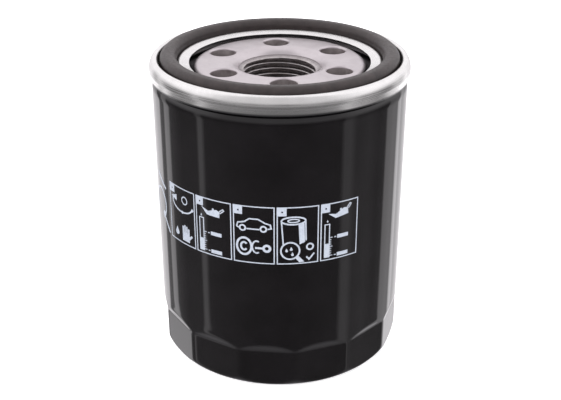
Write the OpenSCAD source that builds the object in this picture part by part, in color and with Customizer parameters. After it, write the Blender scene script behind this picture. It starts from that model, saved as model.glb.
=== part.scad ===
// Spin-on oil filter: a drawn can closed by a double-seamed lid, with a threaded base plate and a
// sealing gasket on top, and a spring-loaded paper element with its valves inside.
// It stands on its closed end. +Z points out of the threaded end, and the front faces -Y.

/* [Can] */
// Outer diameter of the can body
can_od = 66; // [58:1:90]
// Height from the foot to the top of the rolled seam
can_h = 81; // [65:1:120]
// Sheet thickness of the can
can_t = 0.5; // [0.4:0.05:0.7]
// Outer radius of the bend between the wall and the closed end
can_bend_r = 3; // [2:0.5:5]
// How far the middle of the closed end is pressed in
end_recess = 1.2; // [0.6:0.1:2]
// Diameter of the pressed-in middle of the closed end
end_recess_d = 44; // [36:1:46]
// How far the neck under the seam is drawn in, on the radius
neck_in = 0.8; // [0.5:0.05:1.2]
// Height of the slope between the can wall and the neck
neck_slope_h = 1.5; // [1:0.1:3]
// Straight neck below the seam
neck_h = 0.3; // [0.1:0.1:2]

/* [Wrench flats] */
// Number of flats for a cap wrench
flat_count = 14; // [12:1:16]
// How deep the middle of a flat is pressed into the can
flat_depth = 0.8; // [0.5:0.05:0.9]
// Height of the flats above the foot, without their ramps
flat_h = 10.8; // [8:0.1:16]
// Height of the ramp at the top of a flat
flat_ramp_h = 3; // [2:0.5:6]
// Turn of the first flat from the front
flat_turn = 5.9; // [0:0.1:25]

/* [Lid and seam] */
// Sheet thickness of the lid
lid_t = 0.45; // [0.35:0.05:0.6]
// Height of the rolled seam
seam_h = 4.9; // [3.6:0.1:6]
// Play between two layers of the seam
seam_gap = 0.02; // [0.01:0.01:0.04]
// Thickness of the sealing compound over the can's fold
compound_t = 0.2; // [0.1:0.05:0.3]
// Depth of the gasket groove below the top of the seam
groove_depth = 3.7; // [3:0.1:5]
// Width of the ring inside the groove
lid_ring_w = 2.9; // [2:0.1:4]
// How far the ring's bend lies below the top of the seam
lid_ring_drop = 1.2; // [0.8:0.1:2]
// How far the ring slopes down from its bend to its inner edge
lid_ring_slope = 0.6; // [0:0.1:1]
// Outer bend radius at the groove's inner edge
lid_bend_r = 0.7; // [0.5:0.1:1]

/* [Gasket] */
// Width of the gasket section
gasket_w = 4.3; // [3.6:0.1:5.5]
// Height of the gasket section
gasket_h = 4.95; // [4.5:0.05:6.5]
// Width of the gasket's flat crest, between its rounded shoulders
gasket_crest_w = 0.6; // [0.4:0.1:2]
// Radius of the gasket's lower edges
gasket_foot_r = 0.5; // [0.3:0.1:1]
// Play between the gasket and the groove's inner wall
gasket_play = 0.1; // [0.05:0.05:0.3]
// Room for the gasket to spread between it and the groove's outer wall
gasket_room = 0.5; // [0.2:0.1:1]

/* [Base plate] */
// Thickness of the base plate
plate_t = 3; // [2:0.1:4]
// How far the raised middle stands below the bend of the lid's ring
plate_drop = 0.9; // [0.7:0.1:2]
// Radial gap between the raised middle and the lid's inner edge
plate_gap = 0.9; // [0.5:0.1:2.5]
// How far the underside's step stands outside the raised middle
plate_step = 1; // [0.5:0.1:1.5]
// Shoulder radius of the raised middle
plate_shoulder_r = 1.9; // [0.5:0.1:2]
// Play between the plate's rim and the can's neck
plate_rim_play = 0.5; // [0.3:0.1:1]
// Nominal diameter of the engine thread
thread_d = 20; // [16:1:22]
// Pitch of the engine thread
thread_pitch = 1.5; // [1:0.5:2]
// Wall of the threaded collar outside the nominal thread
collar_wall = 2.1; // [1.5:0.1:3]
// Length of the collar below the plate
collar_len = 7.6; // [5:0.1:9]
// Chamfer at the collar's lower end
collar_chamfer = 0.6; // [0.2:0.1:1]
// Radius of the rolled-in mouth
mouth_roll_r = 3.3; // [2.5:0.1:5]
// How far the mouth's edge lies below the raised middle
mouth_dip = 1.6; // [0.8:0.1:2]
// Width of the countersink between the mouth's edge and the thread
mouth_sink_w = 1.46; // [0.8:0.02:2]
// Depth of that countersink
mouth_sink_h = 0.5; // [0.3:0.1:1.5]
// Diameter of an inlet hole, as a share of the width from the collar to the raised middle's edge
inlet_share = 0.633; // [0.4:0.001:0.66]
// Place of the inlet holes across that width, from 0 at the collar to 1 at the edge
inlet_place = 0.45; // [0.43:0.001:0.52]
// Number of inlet holes
inlet_count = 6; // [5:1:8]
// Chamfer of an inlet hole
inlet_chamfer = 0.3; // [0.1:0.1:0.6]
// Turn of the first inlet hole from +X
inlet_turn = 33.3; // [0:0.1:60]

/* [Anti-drain valve] */
// Height of the valve's hub between the base plate and the element
drain_hub_h = 5; // [4:0.1:7]
// Thickness of the hub
drain_hub_t = 1.75; // [1.2:0.05:2.5]
// Thickness of the flap
drain_flap_t = 1; // [0.7:0.1:1.5]
// How far the flap rises from its root to its rim
drain_flap_rise = 1.6; // [1:0.1:2.5]
// How far the flap reaches past the inlet holes
drain_overlap = 1.8; // [1:0.1:3]
// Play between the flap's rim and the base plate
drain_flap_play = 0.1; // [0.05:0.05:0.3]
// Play where the flap bends from the hub
drain_root_play = 0.05; // [0.05:0.01:0.1]
// Play between the collar and the hub
drain_hub_play = 0.05; // [0.02:0.01:0.1]

/* [Element] */
// Gap between the can's wall and the end caps, where the oil runs down
cap_gap = 3.7; // [2.5:0.1:5]
// Sheet thickness of the end caps
cap_t = 0.5; // [0.4:0.05:0.8]
// Height of the end caps' rims
cap_rim_h = 3.5; // [2.5:0.1:5]
// Height of the upper end cap's neck
cap_neck_h = 2.9; // [2:0.1:4]
// Play between the collar and the upper end cap's neck
cap_neck_play = 0.3; // [0.2:0.05:0.5]
// Thickness of the bonding layer in each end cap
bond_t = 2; // [1:0.1:3]
// Play between the media and the end caps' rims
media_play = 0.7; // [0.5:0.1:1.5]
// Play between the media and the centre tube
media_tube_play = 0.6; // [0.3:0.1:1]
// Number of pleats
pleat_count = 48; // [36:1:56]
// Thickness of the pleated paper
media_t = 0.4; // [0.3:0.05:0.5]
// Thickness of the clip that closes the pleated paper
clip_t = 0.3; // [0.2:0.05:0.4]
// How far the clip reaches in over its pleat
clip_reach = 3; // [2:0.5:5]
// Play between the clip and the pleat's tip
clip_play = 0.06; // [0.03:0.01:0.1]
// How far the centre tube stands outside the upper end cap's neck
tube_step = 0.6; // [0.2:0.1:1.2]
// Sheet thickness of the centre tube
tube_t = 0.5; // [0.4:0.05:0.8]
// Diameter of a hole in the centre tube
tube_hole_d = 4; // [3:0.5:5]
// Rows of holes in the centre tube
tube_rows = 7; // [4:1:8]
// Pairs of opposite holes in a row
tube_hole_pairs = 4; // [3:1:5]

/* [Bypass valve] */
// Diameter of the bypass opening
bypass_d = 10; // [8:0.5:11]
// Sheet thickness of the seat and the cage
bypass_t = 0.7; // [0.5:0.05:1]
// Height of the lip round the opening
bypass_lip_h = 0.6; // [0.4:0.1:1]
// Width of the lip
bypass_lip_t = 0.6; // [0.4:0.1:1]
// How far the lower end cap's opening reaches past the bypass opening
cap_hole_margin = 4; // [3:0.5:5]
// Thickness of the rubber seal under the poppet
bypass_seal_t = 1; // [0.8:0.1:1.5]
// How far the poppet reaches past the opening
poppet_overlap = 3; // [2:0.1:3.5]
// Thickness of the poppet's disc
poppet_t = 0.8; // [0.6:0.1:1.2]
// Diameter of the poppet's stem
stem_d = 4; // [3:0.1:5]
// Play between the stem and its guide
stem_play = 0.06; // [0.03:0.01:0.1]
// How far the stem stands out of its guide
stem_out = 1; // [0.5:0.1:2]
// Radial play between the cage and the centre tube
cage_play = 1; // [0.5:0.1:2]
// Number of legs of the cage
cage_legs = 3; // [3:1:5]
// Width of a leg
cage_leg_w = 5; // [3:0.5:7]
// Width of the cage's foot
cage_foot_w = 1.9; // [1.5:0.1:2.5]
// Height of the solid skirt above and below the cage's windows
cage_skirt_h = 0.8; // [0.5:0.1:1.5]

/* [Springs] */
// Installed length of the support spring
support_len = 9; // [7:0.1:12]
// Mean diameter of the support spring
support_d = 28; // [26:0.5:34]
// Wire diameter of the support spring
support_wire = 1.4; // [1:0.1:1.8]
// Turns of the support spring
support_turns = 3.5; // [3:0.5:5]
// Installed length of the bypass spring
bypass_len = 10; // [9:0.1:14]
// Mean diameter of the bypass spring
bypass_spring_d = 9; // [8:0.1:11]
// Wire diameter of the bypass spring
bypass_wire = 0.8; // [0.6:0.1:1]
// Turns of the bypass spring
bypass_turns = 5.5; // [4:0.5:7]

/* [Hidden] */
$fn = 96;
CUT = 1;                     // how far a cutting shape runs past what it cuts
THREAD_DEPTH = 1.0825;       // an internal thread's minor diameter is this many pitches less
PROUD = 1.05;                // end turns of a spring rise this many wire diameters
STEPS = 24;                  // rings in one turn of a spring
SIDES = 8;                   // sides of a spring's wire
PLEAT_TIP = 1;               // half of a pleat's tip, in degrees
PLEAT_VALLEY = 1.3;          // half of the fold between two pleats, in degrees
CLIP_SPREAD = 0.12;          // how much room the clip leaves on each side for each mm it reaches in

can_r = can_od / 2;
recess_r = end_recess_d / 2;
neck_r = can_r - neck_in;
seam_z = can_h - seam_h;
neck_top_z = seam_z - neck_h;
neck_slope_z = neck_top_z - neck_slope_h;
flat_r = can_r - flat_depth;
flat_pitch = 360 / flat_count;

// Layers of the seam from the inside out, as radii of their inner faces
chuck_r = neck_r - can_t - seam_gap - lid_t;
wall_r = neck_r - can_t;
cover_hook_r = neck_r + seam_gap;
body_hook_r = cover_hook_r + lid_t + seam_gap;
seaming_r = body_hook_r + can_t + seam_gap;
seam_r = seaming_r + lid_t;
lid_fold_r = (seam_r - chuck_r) / 2;
lid_fold_z = can_h - lid_fold_r;
fold_mid_r = (seam_r + chuck_r) / 2;
can_fold_r = (body_hook_r + can_t - wall_r) / 2;
can_fold_z = lid_fold_z - compound_t;
under_fold_r = (seam_r - cover_hook_r) / 2;
under_fold_z = seam_z + under_fold_r;
under_mid_r = (seam_r + cover_hook_r) / 2;

// Gasket groove and the lid's ring
groove_z = can_h - groove_depth;
gasket_edge_r = (gasket_w - gasket_crest_w) / 2;
groove_r = chuck_r - gasket_w - gasket_play - gasket_room;
ring_z = can_h - lid_ring_drop;
ring_r = groove_r - lid_ring_w;
gasket_r = groove_r + gasket_play;

// Base plate
flange_z = groove_z - lid_t;
plate_z = ring_z - plate_drop;
plate_under_z = plate_z - plate_t;
plate_r = ring_r - plate_gap;
plate_step_r = plate_r + plate_step;
plate_rim_r = wall_r - plate_rim_play;
bore_r = (thread_d - THREAD_DEPTH * thread_pitch) / 2;
collar_r = thread_d / 2 + collar_wall;
collar_z = plate_under_z - collar_len;
mouth_r = bore_r + mouth_sink_w;
mouth_flat_r = mouth_r + sqrt(pow(mouth_roll_r, 2) - pow(mouth_roll_r - mouth_dip, 2));
inlet_r = inlet_share * (plate_r - collar_r) / 2;
inlet_pcr = collar_r + inlet_place * (plate_r - collar_r);

// Anti-drain valve
hub_r = collar_r + drain_hub_play;
hub_out_r = hub_r + drain_hub_t;
hub_z = plate_under_z - drain_hub_h;
flap_r = inlet_pcr + inlet_r + drain_overlap;
flap_z = plate_under_z - drain_flap_play;

// Element
cap_r = can_r - can_t - cap_gap;
neck_in_r = collar_r + cap_neck_play;
upper_cap_z = hub_z - cap_neck_h;
lower_cap_z = end_recess + can_t + support_len;
tube_r = neck_in_r + cap_t + tube_step;
tube_out_r = tube_r + tube_t;
tube_z = lower_cap_z + cap_t;
tube_top_z = upper_cap_z - cap_t;
media_z = tube_z + bond_t;
media_top_z = tube_top_z - bond_t;
media_r = cap_r - cap_t - media_play;
media_in_r = tube_out_r + media_tube_play;
pleat_pitch = 360 / pleat_count;

// Bypass valve
bypass_r = bypass_d / 2;
seat_r = tube_r - cage_play;
seat_z = lower_cap_z + cap_t;
lip_z = seat_z + bypass_t + bypass_lip_h;
cap_hole_r = bypass_r + cap_hole_margin;
poppet_r = bypass_r + poppet_overlap;
poppet_z = lip_z + bypass_seal_t;
stem_r = stem_d / 2;
spring_z = poppet_z + poppet_t;
cage_z = spring_z + bypass_len;

// ---------------------------------------------------------------- shared shapes

// Ring of rectangular section
module ring(r_in, r_out, z, h) {
    rotate_extrude() translate([r_in, z]) square([r_out - r_in, h]);
}

// Half of a sheet's fold: up is 1 for a fold over the top and -1 for a fold under
module fold(mid_r, z, r_out, t, up) {
    intersection() {
        difference() {
            translate([mid_r, z]) circle(r_out);
            translate([mid_r, z]) circle(r_out - t);
        }
        translate([mid_r - r_out - CUT, up > 0 ? z : z - r_out - CUT])
            square([2 * (r_out + CUT), r_out + CUT]);
    }
}

// Rectangle with its upper and lower corners rounded
module rounded_box(w, h, r_top, r_foot) {
    difference() {
        square([w, h]);
        for (side = [0, 1]) {
            translate([side * w, h]) corner_cut(r_top, side > 0 ? -1 : 1, -1);
            translate([side * w, 0]) corner_cut(r_foot, side > 0 ? -1 : 1, 1);
        }
    }
}

// What a round of radius r takes off a corner whose sides run towards sx and sy
module corner_cut(r, sx, sy) {
    difference() {
        translate([sx > 0 ? -CUT : -r, sy > 0 ? -CUT : -r]) square([r + CUT, r + CUT]);
        translate([sx * r, sy * r]) circle(r);
    }
}

// Compression spring with closed ends, standing on z = 0
module spring(mean_d, wire_d, len, turns) {
    closed_rise = PROUD * wire_d;
    open_rise = len - wire_d - 2 * closed_rise;
    function rise(turn) =
        turn < 1 ? turn * closed_rise
        : turn > turns - 1 ? len - wire_d - (turns - turn) * closed_rise
        : closed_rise + open_rise * (turn - 1) / (turns - 2);
    rings = ceil(turns * STEPS);
    points = [
        for (i = [0 : rings], k = [0 : SIDES - 1])
            let (
                turn = turns * i / rings,
                around = 360 * (k + 0.5) / SIDES,
                wire_r = wire_d / 2,
                r = mean_d / 2 + wire_r * cos(around),
                z = wire_r + rise(turn) + wire_r * sin(around)
            )
            [r * cos(360 * turn), r * sin(360 * turn), z]
    ];
    sides = [
        for (i = [0 : rings - 1], k = [0 : SIDES - 1])
            let (next = (k + 1) % SIDES)
            [i * SIDES + k, i * SIDES + next, (i + 1) * SIDES + next, (i + 1) * SIDES + k]
    ];
    near_end = [[for (k = [SIDES - 1 : -1 : 0]) k]];
    far_end = [[for (k = [0 : SIDES - 1]) rings * SIDES + k]];
    polyhedron(points, concat(sides, near_end, far_end));
}

// ---------------------------------------------------------------- can

// One wrench flat's cutter, which stands outside the plane at radius r
module flat_cutter(r) {
    reach = can_r + 2 * CUT;
    profile = [
        [r, -CUT],
        [reach, -CUT],
        [reach, flat_h + flat_ramp_h * (reach - r) / flat_depth],
        [r, flat_h]
    ];
    rotate([90, 0, 0]) linear_extrude(can_r, center = true) polygon(profile);
}

// The can's outer shape, or the space inside it when inset is the sheet thickness
module can_blank(inset) {
    floor_slope = inset * (sqrt(2) - 1);
    difference() {
        rotate_extrude() difference() {
            union() {
                translate([0, can_bend_r]) square([can_r - inset, neck_slope_z - can_bend_r]);
                translate([0, inset]) square([can_r - can_bend_r, can_bend_r]);
                translate([can_r - can_bend_r, can_bend_r]) circle(can_bend_r - inset);
                polygon([
                    [0, neck_slope_z],
                    [can_r - inset, neck_slope_z],
                    [neck_r - inset, neck_top_z],
                    [neck_r - inset, can_fold_z],
                    [0, can_fold_z]
                ]);
            }
            polygon([
                [-CUT, end_recess + inset],
                [recess_r + floor_slope, end_recess + inset],
                [recess_r + floor_slope + end_recess + inset + CUT, -CUT],
                [-CUT, -CUT]
            ]);
            translate([-can_r, -CUT]) square([can_r, can_h]);
        }
        for (k = [0 : flat_count - 1])
            rotate([0, 0, k * flat_pitch - 90 - flat_turn]) flat_cutter(flat_r - inset);
    }
}

module outer_can() {
    hook_end_z = under_fold_z + lid_t;
    color([0.07, 0.07, 0.08]) difference() {
        can_blank(0);
        difference() {
            can_blank(can_t);
            ring(0, can_r, can_fold_z - CUT / 10, CUT);
        }
        ring(0, wall_r, can_fold_z - CUT, 2 * CUT);
    }
    color([0.07, 0.07, 0.08]) rotate_extrude() {
        fold(fold_mid_r, can_fold_z, can_fold_r, can_t, 1);
        translate([body_hook_r, hook_end_z]) square([can_t, can_fold_z - hook_end_z]);
    }
}

// ---------------------------------------------------------------- lid and gasket

module seaming_lid() {
    hook_end_z = can_fold_z - can_fold_r + can_t;
    bend_in_r = lid_bend_r - lid_t;
    bend_mid_r = groove_r - lid_bend_r;
    bend_mid_z = ring_z - lid_bend_r;
    color([0.82, 0.82, 0.80]) rotate_extrude() {
        // ring and its bend into the groove
        polygon([
            [ring_r, ring_z - lid_t - lid_ring_slope],
            [bend_mid_r, ring_z - lid_t],
            [bend_mid_r, ring_z],
            [ring_r, ring_z - lid_ring_slope]
        ]);
        intersection() {
            difference() {
                translate([bend_mid_r, bend_mid_z]) circle(lid_bend_r);
                translate([bend_mid_r, bend_mid_z]) circle(bend_in_r);
            }
            translate([bend_mid_r, bend_mid_z]) square([lid_bend_r, lid_bend_r]);
        }
        // groove
        translate([groove_r - lid_t, flange_z]) square([lid_t, bend_mid_z - flange_z]);
        translate([groove_r - lid_t, flange_z]) square([chuck_r - groove_r + 2 * lid_t, lid_t]);
        // chuck wall, fold over the can, seaming wall, fold under, and cover hook
        translate([chuck_r, flange_z]) square([lid_t, lid_fold_z - flange_z]);
        fold(fold_mid_r, lid_fold_z, lid_fold_r, lid_t, 1);
        translate([seaming_r, under_fold_z]) square([lid_t, lid_fold_z - under_fold_z]);
        fold(under_mid_r, under_fold_z, under_fold_r, lid_t, -1);
        translate([cover_hook_r, under_fold_z]) square([lid_t, hook_end_z - under_fold_z]);
    }
}

module seam_compound() {
    color([0.45, 0.62, 0.52]) rotate_extrude() difference() {
        intersection() {
            translate([fold_mid_r, lid_fold_z]) circle(lid_fold_r - lid_t);
            translate([chuck_r, lid_fold_z]) square([2 * lid_fold_r, lid_fold_r]);
        }
        translate([fold_mid_r, can_fold_z]) circle(can_fold_r);
    }
}

module sealing_gasket() {
    color([0.13, 0.11, 0.11]) rotate_extrude()
        translate([gasket_r, groove_z]) rounded_box(gasket_w, gasket_h, gasket_edge_r, gasket_foot_r);
}

// ---------------------------------------------------------------- base plate

module base_plate() {
    mouth_z = plate_z - mouth_dip;
    roll_z = plate_z - mouth_roll_r;
    color([0.74, 0.71, 0.72]) difference() {
        rotate_extrude() difference() {
            polygon([
                [bore_r, collar_z],
                [collar_r, collar_z],
                [collar_r, plate_under_z],
                [plate_step_r, plate_under_z],
                [plate_step_r + plate_under_z - flange_z + plate_t, flange_z - plate_t],
                [plate_rim_r, flange_z - plate_t],
                [plate_rim_r, flange_z],
                [plate_r, flange_z],
                [plate_r, plate_z],
                [bore_r, plate_z]
            ]);
            translate([plate_r, plate_z]) corner_cut(plate_shoulder_r, -1, -1);
            // rolled mouth with its countersink
            difference() {
                translate([0, roll_z]) square([mouth_flat_r, mouth_roll_r + CUT]);
                translate([mouth_flat_r, roll_z]) circle(mouth_roll_r);
                translate([0, roll_z - CUT]) square([mouth_r, mouth_z - mouth_sink_h - roll_z + CUT]);
            }
            polygon([
                [0, mouth_z - mouth_sink_h],
                [bore_r, mouth_z - mouth_sink_h],
                [mouth_r, mouth_z],
                [mouth_r, plate_z],
                [0, plate_z]
            ]);
            polygon([
                [bore_r - CUT, collar_z - CUT],
                [bore_r + collar_chamfer + CUT, collar_z - CUT],
                [bore_r - CUT, collar_z + collar_chamfer + CUT]
            ]);
        }
        for (k = [0 : inlet_count - 1]) rotate([0, 0, inlet_turn + k * 360 / inlet_count])
            translate([inlet_pcr, 0, 0]) {
                translate([0, 0, plate_under_z - CUT]) cylinder(h = plate_t + 2 * CUT, r = inlet_r);
                translate([0, 0, plate_z - inlet_chamfer])
                    cylinder(h = inlet_chamfer + CUT, r1 = inlet_r, r2 = inlet_r + inlet_chamfer + CUT);
            }
    }
}

// ---------------------------------------------------------------- anti-drain valve

module drain_valve_hub() {
    color([0.12, 0.12, 0.13]) ring(hub_r, hub_out_r, hub_z, drain_hub_h);
}

module drain_valve_flap() {
    root_r = hub_out_r + drain_root_play;
    root_z = flap_z - drain_flap_rise;
    rim_r = flap_r - drain_flap_t;
    color([0.12, 0.12, 0.13]) rotate_extrude() polygon([
        [root_r, root_z],
        [rim_r, flap_z],
        [flap_r, flap_z],
        [flap_r, flap_z - drain_flap_t / 2],
        [rim_r, flap_z - drain_flap_t],
        [root_r, root_z - drain_flap_t]
    ]);
}

// ---------------------------------------------------------------- element

module upper_end_cap() {
    color([0.78, 0.78, 0.76]) {
        ring(neck_in_r, neck_in_r + cap_t, upper_cap_z - cap_t, cap_neck_h + cap_t);
        ring(neck_in_r, cap_r, upper_cap_z - cap_t, cap_t);
        ring(cap_r - cap_t, cap_r, upper_cap_z - cap_rim_h, cap_rim_h);
    }
}

module upper_bond() {
    color([0.80, 0.72, 0.50]) ring(tube_out_r, cap_r - cap_t, media_top_z, bond_t);
}

module lower_bond() {
    color([0.80, 0.72, 0.50]) ring(tube_out_r, cap_r - cap_t, tube_z, bond_t);
}

module lower_end_cap() {
    color([0.78, 0.78, 0.76]) {
        ring(cap_hole_r, cap_r, lower_cap_z, cap_t);
        ring(cap_r - cap_t, cap_r, lower_cap_z, cap_rim_h);
    }
}

// Edge of the folded paper: side is 1 for the outer face and -1 for the inner face
function pleat_edge(side) =
    let (
        half = media_t / 2 * 180 / PI,
        tip_r = side > 0 ? media_r : media_r - media_t,
        valley_r = side > 0 ? media_in_r + media_t : media_in_r,
        tip = PLEAT_TIP + side * half / media_r,
        valley = pleat_pitch / 2 - PLEAT_VALLEY + side * half / media_in_r
    )
    [
        for (k = [0 : pleat_count - 1], p = [[tip_r, -tip], [tip_r, tip], [valley_r, valley],
            [valley_r, pleat_pitch - valley]])
            let (a = k * pleat_pitch + p[1])
            [p[0] * cos(a), p[0] * sin(a)]
    ];

module filter_media() {
    color([0.85, 0.74, 0.48]) translate([0, 0, media_z])
        linear_extrude(media_top_z - media_z) difference() {
            polygon(pleat_edge(1));
            polygon(pleat_edge(-1));
        }
}

module media_clip() {
    half_w = media_r * sin(PLEAT_TIP) + media_t / 2 + clip_reach * CLIP_SPREAD;
    color([0.75, 0.75, 0.74]) translate([media_r + clip_play, 0, media_z]) {
        translate([0, -half_w - clip_t, 0]) cube([clip_t, 2 * (half_w + clip_t), media_top_z - media_z]);
        for (side = [0, 1])
            translate([-clip_reach, side ? half_w : -half_w - clip_t, 0])
                cube([clip_reach, clip_t, media_top_z - media_z]);
    }
}

module centre_tube() {
    row_gap = (tube_top_z - tube_z) / (tube_rows + 1);
    color([0.70, 0.70, 0.70]) difference() {
        ring(tube_r, tube_out_r, tube_z, tube_top_z - tube_z);
        for (row = [1 : tube_rows], k = [0 : tube_hole_pairs - 1])
            translate([0, 0, tube_z + row * row_gap])
                rotate([90, 0, (k + (row % 2) / 2) * 180 / tube_hole_pairs])
                    cylinder(h = 3 * tube_out_r, d = tube_hole_d, center = true);
    }
}

// ---------------------------------------------------------------- bypass valve

module bypass_seat() {
    color([0.72, 0.70, 0.62]) {
        ring(bypass_r, seat_r, seat_z, bypass_t);
        ring(bypass_r, bypass_r + bypass_lip_t, seat_z, bypass_t + bypass_lip_h);
    }
}

module bypass_cage() {
    foot_z = seat_z + bypass_t;
    leg_r = seat_r - bypass_t;
    foot_r = seat_r - cage_foot_w;
    guide_r = stem_r + stem_play;
    window_z = foot_z + bypass_t + cage_skirt_h;
    window_h = cage_z - cage_skirt_h - window_z;
    color([0.72, 0.70, 0.62]) difference() {
        rotate_extrude() polygon([
            [foot_r, foot_z],
            [seat_r, foot_z],
            [seat_r, cage_z + bypass_t],
            [guide_r, cage_z + bypass_t],
            [guide_r, cage_z],
            [leg_r, cage_z],
            [leg_r, foot_z + bypass_t],
            [foot_r, foot_z + bypass_t]
        ]);
        difference() {
            ring(leg_r - CUT, seat_r + CUT, window_z, window_h);
            for (k = [0 : cage_legs - 1]) rotate([0, 0, k * 360 / cage_legs])
                translate([0, -cage_leg_w / 2, window_z - CUT])
                    cube([seat_r + 2 * CUT, cage_leg_w, window_h + 2 * CUT]);
        }
    }
}

module bypass_poppet() {
    color([0.66, 0.67, 0.70]) {
        ring(0, poppet_r, poppet_z, poppet_t);
        ring(0, stem_r, lip_z, cage_z + bypass_t + stem_out - lip_z);
    }
}

module bypass_seal() {
    color([0.10, 0.10, 0.10]) ring(stem_r, poppet_r, lip_z, bypass_seal_t);
}

module bypass_spring() {
    color([0.60, 0.61, 0.63]) translate([0, 0, spring_z])
        spring(bypass_spring_d, bypass_wire, bypass_len, bypass_turns);
}

module support_spring() {
    color([0.60, 0.61, 0.63]) translate([0, 0, end_recess + can_t])
        spring(support_d, support_wire, support_len, support_turns);
}

outer_can();
seaming_lid();
seam_compound();
base_plate();
sealing_gasket();
drain_valve_hub();
drain_valve_flap();
upper_end_cap();
upper_bond();
filter_media();
media_clip();
centre_tube();
lower_bond();
lower_end_cap();
bypass_seat();
bypass_cage();
bypass_poppet();
bypass_seal();
bypass_spring();
support_spring();
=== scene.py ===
import math

import bmesh
import bpy
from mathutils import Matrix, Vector


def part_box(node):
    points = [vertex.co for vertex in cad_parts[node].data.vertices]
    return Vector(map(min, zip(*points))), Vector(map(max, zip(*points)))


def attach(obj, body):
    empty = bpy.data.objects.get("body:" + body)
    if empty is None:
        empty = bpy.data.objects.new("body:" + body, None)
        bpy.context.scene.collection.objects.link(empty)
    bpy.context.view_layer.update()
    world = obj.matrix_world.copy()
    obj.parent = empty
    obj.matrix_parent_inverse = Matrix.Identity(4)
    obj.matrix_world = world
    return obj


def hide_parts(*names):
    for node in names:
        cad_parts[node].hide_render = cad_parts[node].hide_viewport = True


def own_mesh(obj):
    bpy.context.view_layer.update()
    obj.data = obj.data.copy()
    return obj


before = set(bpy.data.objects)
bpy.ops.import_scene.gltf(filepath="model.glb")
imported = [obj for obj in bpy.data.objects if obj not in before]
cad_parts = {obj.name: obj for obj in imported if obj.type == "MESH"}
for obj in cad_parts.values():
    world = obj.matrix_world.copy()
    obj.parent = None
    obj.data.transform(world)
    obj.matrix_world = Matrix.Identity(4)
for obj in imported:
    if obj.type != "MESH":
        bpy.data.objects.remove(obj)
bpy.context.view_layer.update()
MM = 0.001
TAU = 2 * math.pi

# ---------------------------------------------------------------- sizes, in millimetres
# What the frame gives
TOP_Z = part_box("sealing_gasket")[1].z / MM
SEAM_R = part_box("seaming_lid")[1].x / MM
SEAM_TOP_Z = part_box("seaming_lid")[1].z / MM
FLANGE_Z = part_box("seaming_lid")[0].z / MM
GASKET_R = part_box("sealing_gasket")[1].x / MM
GASKET_FOOT_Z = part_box("sealing_gasket")[0].z / MM
PLATE_TOP_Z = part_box("base_plate")[1].z / MM
PLATE_RIM_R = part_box("base_plate")[1].x / MM
COLLAR_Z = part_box("base_plate")[0].z / MM
HOOK_TOP_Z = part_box("outer_can")[1].z / MM

# The seam, where the lid's rim is rolled over the can's edge
SEAM_Z = 76.1
CREASE_Z = SEAM_Z + 2.15
CHUCK_R = 31.23
SEAM_GAP = 0.02
SEAM_TAPER = 0.17
HOOK_END_Z = SEAM_Z + 1.17
HOOK_FOLD_R = 0.745
LID_HOOK_END_Z = SEAM_Z + 2.9
LID_FOLD_IN_R = 0.58
LID_FOLD_END = math.radians(78)

# The can
CAN_R = 33.0
CAN_T = 0.5
NECK_R = CAN_R - 0.8
NECK_TOP_Z = SEAM_Z - 0.3
NECK_SLOPE_Z = NECK_TOP_Z - 1.5
NECK_CURVE = 2.4
BEND_R = 3.0
RECESS = 1.2
RECESS_R = 22.0
FLATS = 14
FLAT_DEPTH = 0.8
FLAT_H = 10.8
FLAT_RAMP_H = 3.0
FLAT_TURN = 5.9
FLAT_ROUND = 0.22
COLUMNS_PER_FLAT = 28

# The gasket
GASKET_W = 4.3
GASKET_CREST_W = 0.6
GASKET_FOOT_R = 0.5

# The lid
LID_T = 0.45
LID_BEND_R = 0.7
GROOVE_R = 26.33
GROOVE_BEND_R = 0.45
RING_R = 23.43
RING_Z = SEAM_Z + 3.7
RING_SLOPE = 0.6

# The base plate
PLATE_T = 3.0
PLATE_R = 22.53
PLATE_SHARP_DEG = 28
SHOULDER_R = 1.9
FOOT_FILLET_R = 0.5
RIM_CHAMFER = 0.3
COLLAR_R = 12.1
COLLAR_CHAMFER = 0.4
COLLAR_FILLET_R = 0.9
THREAD_MINOR_R = 9.188
THREAD_MAJOR_R = 10.0
PITCH = 1.5
THREAD_PHASE = 0.28
THREAD_CREST = 0.25
THREAD_ROOT = 0.14
THREAD_CHAMFER = 0.6
MOUTH_ROLL_R = 3.3
MOUTH_DIP = 1.6
MOUTH_SINK_W = 1.46
MOUTH_SINK_H = 0.5
INLETS = 6
INLET_PCR = 16.79
INLET_R = 3.3
INLET_TURN = 33.3
INLET_ROLL_R = 0.55

# The springs: radii of the coil and of its wire, foot, length, and the share of it kept at the joint's limit
SUPPORT_SPRING = {"mean_r": 14.0, "wire_r": 0.7, "foot_z": 1.7, "length": 9.0, "turns": 3.5, "keep": 0.83}
BYPASS_SPRING = {"mean_r": 4.5, "wire_r": 0.4, "foot_z": 14.3, "length": 10.0, "turns": 5.5, "keep": 0.70}


# ---------------------------------------------------------------- mesh helpers

def object_from(name, verts, faces, sharp_deg=40):
    """A mesh object from points in millimetres, shaded smooth with its edges over sharp_deg kept."""
    mesh = bpy.data.meshes.new(name)
    mesh.from_pydata([tuple(c * MM for c in v) for v in verts], [], faces)
    tidy_mesh(mesh, sharp_deg)
    obj = bpy.data.objects.new(name, mesh)
    bpy.context.scene.collection.objects.link(obj)
    return obj


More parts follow.
